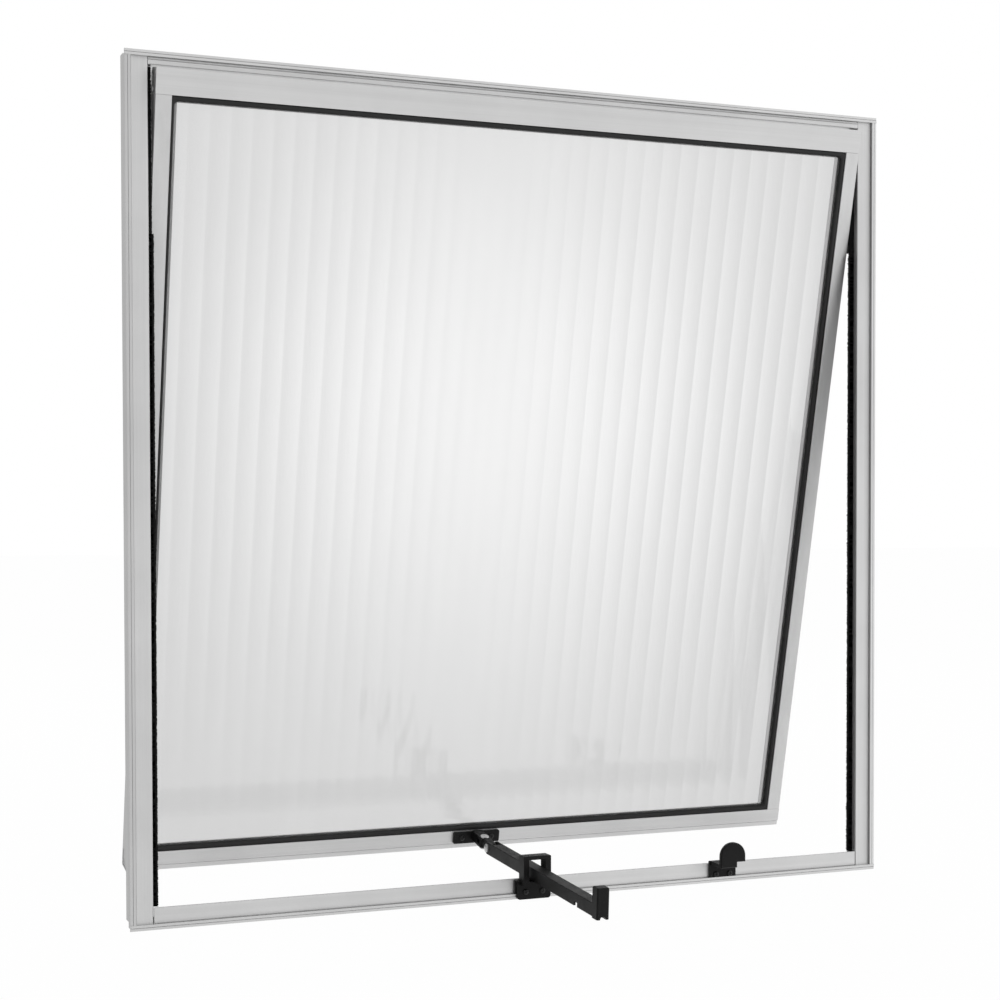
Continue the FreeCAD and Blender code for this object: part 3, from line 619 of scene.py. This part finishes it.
def domeShape(maker, radius, height, fullness):
    ball = maker.add("GeometryNodeMeshUVSphere", {
        "Segments": domeSet["segments"], "Rings": domeSet["rings"], "Radius": radius})
    axes = maker.position()
    rise = maker.math("MAXIMUM", maker.math("DIVIDE", axes["Z"], radius), 0.0)
    crown = maker.math("MULTIPLY", maker.math("POWER", rise, fullness), height)
    sunk = maker.math("MULTIPLY", maker.math("MINIMUM", axes["Z"], 0.0), domeSet["underShare"])
    return maker.add("GeometryNodeSetPosition", {
        "Geometry": ball.outputs["Mesh"],
        "Position": maker.vector(axes["X"], axes["Y"], maker.math("ADD", crown, sunk))}).outputs[0]


def screwTree():
    maker = TreeMaker("screwTree", (
        "Radius", "Height", "Fullness", "Shank Radius", "Shank Length", "Recess Long", "Recess Wide",
        "Recess Deep"), ("Shank Sides", "Seed"), onPoints=True)
    given = maker.given
    head = domeShape(maker, given["Radius"], given["Height"], given["Fullness"])
    cross = maker.add("GeometryNodeMeshBoolean", {"Mesh 1": head}, operation="DIFFERENCE", solver="EXACT")
    # the cutting blocks have their middle on the crown, so half of each is in the head
    deep = maker.math("MULTIPLY", given["Recess Deep"], 2.0)
    for x, y in (("Recess Long", "Recess Wide"), ("Recess Wide", "Recess Long")):
        cutter = maker.block(maker.vector(given[x], given[y], deep), maker.vector(z=given["Height"]))
        maker.tree.links.new(cutter, cross.inputs["Mesh 2"])
    shank = maker.add("GeometryNodeMeshCylinder", {
        "Vertices": given["Shank Sides"], "Radius": given["Shank Radius"], "Depth": given["Shank Length"]})
    under = maker.minus(maker.half(given["Shank Length"]))
    seated = maker.move(shank.outputs["Mesh"], maker.vector(z=under))
    spin = maker.random(0.0, math.pi / 2, given["Seed"])
    placed = maker.add("GeometryNodeInstanceOnPoints", {
        "Points": given["Geometry"], "Instance": maker.join(cross.outputs["Mesh"], seated),
        "Rotation": maker.vector(math.pi / 2, spin)})
    return maker.finish(placed.outputs[0])


def screwPoints(node, place, head):
    spots = carriedPoints(node, place)
    split = sum(spot.x for spot in spots) / len(spots)
    points = []
    for side in ([spot for spot in spots if spot.x < split], [spot for spot in spots if spot.x >= split]):
        low, high = boxAround(side)
        middle = (low + high) / 2
        points.append((middle.x, low.y + head, middle.z))
    return points


def makeScrews(name, body, place, carried, s):
    points = sum((screwPoints(node, place, s["carriedHead"] * mm) for node in carried), [])
    mesh = growMesh(name, screwTree(), {
        "Radius": s["radius"] * mm, "Height": s["height"] * mm, "Fullness": s["fullness"],
        "Shank Radius": s["shankRadius"] * mm, "Shank Length": s["shankLength"] * mm,
        "Recess Long": s["recessLong"] * mm, "Recess Wide": s["recessWide"] * mm,
        "Recess Deep": s["recessDeep"] * mm, "Shank Sides": s["shankSides"], "Seed": s["seed"],
        "Material": screwPaint}, points)
    settle(mesh, place)
    smooth(mesh, s["creaseAngle"])
    addPiece(name, mesh, body, carried)


def rivetTree():
    maker = TreeMaker("rivetTree", ("Radius", "Height", "Fullness", "Turn"), onPoints=True)
    given = maker.given
    index = maker.add("GeometryNodeInputIndex").outputs[0]
    turn = maker.math("ADD", given["Turn"], maker.math("MULTIPLY", index, math.pi))
    placed = maker.add("GeometryNodeInstanceOnPoints", {
        "Points": given["Geometry"], "Rotation": maker.vector(y=turn),
        "Instance": domeShape(maker, given["Radius"], given["Height"], given["Fullness"])})
    return maker.finish(placed.outputs[0])


def makeDomes(name, body, place, node, axis, s):
    low, high = boxAround(carriedPoints(node, place))
    far, near = (low + high) / 2, (low + high) / 2
    along = "XYZ".index(axis)
    far[along], near[along] = high[along], low[along]
    mesh = growMesh(name, rivetTree(), {
        "Radius": s["radius"] * mm, "Height": s["height"] * mm, "Fullness": s["fullness"],
        "Turn": s["turn"][axis], "Material": rivetSteel}, [far, near])
    settle(mesh, place)
    mesh.shade_smooth()
    addPiece(name, mesh, body)


makeScrews("frameScrews", "frame", framePlace, ["guide_screws", "keeper_screws"], screwSet)
makeScrews("sashScrews", "sash", sashPlace, ["bracket_screws"], screwSet)
makeDomes("swivelRivetDomes", "sash", sashPlace, "swivel_rivet", "Z", rivetSet)
makeDomes("armRivetDomes", "arm", framePlace, "arm_rivet", "X", rivetSet)
print("screws and rivet domes made")


# pile of the weather strips: leaning tufts on a core, reaching in from each jamb; below the hinge, where
# the sash swings outwards, a band of it towards the room is longer and lies in front of the shut sash

pileSet = {
    "density": 1.9,      # tufts on a square millimetre
    "lengthLow": 4.62, "lengthHigh": 4.85, "rootRadius": 0.55, "tipRadius": 0.3, "coreHigh": 4.2,      # mm
    "lean": 0.1, "sides": 5, "wideShare": 0.7,      # radians, of a tuft, of the strip's width
    "seed": 11, "tiltSeed": 1, "rollSeed": 2,
    # mm: the longer band and its upper ends, and the tail that closes the joint beside the sill
    "extra": 1.7, "bandWide": 1.35, "leftStep": 636.0, "rightStep": 653.0,
    "tailThick": 0.95, "tailLow": 5.5, "tailFront": -11.9,
}


def pileTree():
    maker = TreeMaker("pileTree", (
        "Wide", "Long", "Density", "Length Low", "Length High", "Lean", "Root Radius", "Tip Radius",
        "Core High", "Extra", "Band Wide", "Band Long", "Room Side", "Tail Wide", "Tail Long",
        "Tail Thick"), ("Sides", "Seed", "Tilt Seed", "Roll Seed"))
    given = maker.given
    bed = maker.add("GeometryNodeMeshGrid", {
        "Size X": given["Wide"], "Size Y": given["Long"], "Vertices X": 2, "Vertices Y": 2})
    spots = maker.add("GeometryNodeDistributePointsOnFaces", {
        "Mesh": bed.outputs["Mesh"], "Density": given["Density"], "Seed": given["Seed"]})
    # tufts are 1 long before they are scaled
    tuft = maker.add("GeometryNodeMeshCone", {
        "Vertices": given["Sides"], "Radius Top": given["Tip Radius"],
        "Radius Bottom": given["Root Radius"], "Depth": 1.0})
    foot, edge = maker.minus(maker.half(given["Long"])), maker.minus(maker.half(given["Wide"]))
    place = maker.position()
    under = maker.math("LESS_THAN", place["Y"], maker.math("ADD", foot, given["Band Long"]))
    front = maker.math("LESS_THAN", maker.math("MULTIPLY", place["X"], given["Room Side"]),
                       maker.math("ADD", edge, given["Band Wide"]))
    longer = maker.math("MULTIPLY", maker.math("MULTIPLY", under, front), given["Extra"])
    length = maker.math("ADD", longer, maker.random(
        given["Length Low"], given["Length High"], given["Seed"]))
    back = maker.minus(given["Lean"])
    tilt = maker.random(back, given["Lean"], given["Tilt Seed"])
    roll = maker.random(back, given["Lean"], given["Roll Seed"])
    placed = maker.add("GeometryNodeInstanceOnPoints", {
        "Points": spots.outputs["Points"], "Instance": tuft.outputs["Mesh"],
        "Rotation": maker.vector(tilt, roll), "Scale": maker.vector(1.0, 1.0, length)})
    core = maker.block(maker.vector(given["Wide"], given["Long"], given["Core High"]),
                       maker.vector(z=maker.half(given["Core High"])))
    bandHigh = maker.math("ADD", given["Core High"], given["Extra"])
    bandAcross = maker.math("ADD", edge, maker.half(given["Band Wide"]))
    bandAlong = maker.math("ADD", foot, maker.half(given["Band Long"]))
    band = maker.block(maker.vector(given["Band Wide"], given["Band Long"], bandHigh), maker.vector(
        maker.math("MULTIPLY", bandAcross, given["Room Side"]), bandAlong, maker.half(bandHigh)))
    tailAlong = maker.math("SUBTRACT", foot, maker.half(given["Tail Long"]))
    tail = maker.block(maker.vector(given["Tail Wide"], given["Tail Long"], given["Tail Thick"]),
                       maker.vector(y=tailAlong, z=maker.half(given["Tail Thick"])))
    return maker.finish(maker.join(placed.outputs[0], core, band, tail))


def makePile(name, node, inwards, stepUp, s):
    low, high = boxAround(carriedPoints(node, framePlace))
    mesh = growMesh(name, pileTree(), {
        "Wide": (high.y - low.y) * s["wideShare"], "Long": high.z - low.z,
        "Density": s["density"] / mm ** 2, "Length Low": s["lengthLow"] * mm,
        "Length High": s["lengthHigh"] * mm, "Lean": s["lean"], "Root Radius": s["rootRadius"] * mm,
        "Tip Radius": s["tipRadius"] * mm, "Core High": s["coreHigh"] * mm, "Extra": s["extra"] * mm,
        "Band Wide": s["bandWide"] * mm, "Band Long": stepUp * mm - low.z, "Room Side": inwards,
        "Tail Wide": high.y - s["tailFront"] * mm, "Tail Long": low.z - s["tailLow"] * mm,
        "Tail Thick": s["tailThick"] * mm, "Sides": s["sides"], "Seed": s["seed"],
        "Tilt Seed": s["tiltSeed"], "Roll Seed": s["rollSeed"], "Material": stripRubber})
    across, along = Vector((0, inwards, 0)), Vector((0, 0, 1))
    turn = Matrix((across, along, across.cross(along))).transposed().to_4x4()
    middle = (low + high) / 2
    middle.x = high.x if inwards > 0 else low.x
    settle(mesh, Matrix.Translation(middle) @ turn)
    addPiece(name, mesh, "frame")


makePile("leftPile", "left_weather_strip", 1, pileSet["leftStep"], pileSet)
makePile("rightPile", "right_weather_strip", -1, pileSet["rightStep"], pileSet)
print("weather pile made")


# plain aluminium pieces that the solids lack: the head's lower chamber, which shows as a second band
# under its groove and closes the slit over the shut sash, the blocks that close the head to each jamb
# from behind, and the plugs in the open ends of the sash rails, outlined with the sash shut

headSet = {      # mm
    "span": 378.4, "front": -12.0, "back": 15.0, "low": 787.9, "high": 792.6, "bevel": 0.5,
}
cleatSet = {      # mm
    "inner": 378.8, "outer": 397.0, "front": 4.6, "back": 14.4, "low": 792.9, "high": 799.4,
}
plugSet = {      # mm
    "inner": 371.8, "outer": 373.0,
    "top": ((-0.8, 765.3), (18.1, 765.3), (18.1, 781.6), (14.0, 785.7), (-0.8, 785.7)),
    "bottom": ((0.4, 14.3), (18.1, 14.3), (18.1, 30.6), (0.4, 30.6)),
}


def boxOutline(s):
    front, low, back, high = (s[key] for key in ("front", "low", "back", "high"))
    return (front, low), (back, low), (back, high), (front, high)


def bevelledOutline(s):
    front, low, back, high, cut = (s[key] for key in ("front", "low", "back", "high", "bevel"))
    return ((front, low + cut), (front + cut, low), (back - cut, low), (back, low + cut),
            (back, high - cut), (back - cut, high), (front + cut, high), (front, high - cut))


def bothSides(s, *outlines):
    return [(side * s["inner"], side * s["outer"], outline) for side in (-1, 1) for outline in outlines]


def makePrisms(name, body, material, prisms, place):
    points, faces = [], []
    for start, end, outline in prisms:
        first, count = len(points), len(outline)
        points += [Vector((x, y, z)) * mm for x in (start, end) for y, z in outline]
        near, far = list(range(first, first + count)), list(range(first + count, first + 2 * count))
        faces += [near, far]
        for at in range(count):
            after = (at + 1) % count
            faces.append((near[at], near[after], far[after], far[at]))
    mesh = bpy.data.meshes.new(name)
    mesh.from_pydata(points, [], faces)
    settle(mesh, place)
    mesh.materials.append(material)
    addPiece(name, mesh, body)


makePrisms("headChamber", "frame", frameLevel,
           [(-headSet["span"], headSet["span"], bevelledOutline(headSet))], framePlace)
makePrisms("cornerCleats", "frame", frameLevel,
           bothSides(cleatSet, boxOutline(cleatSet)), framePlace)
makePrisms("railPlugs", "sash", sashLevel,
           bothSides(plugSet, plugSet["top"], plugSet["bottom"]),
           sashPlace @ Matrix.Translation(-hingeAt))
print("head chamber, corner cleats and rail plugs made")
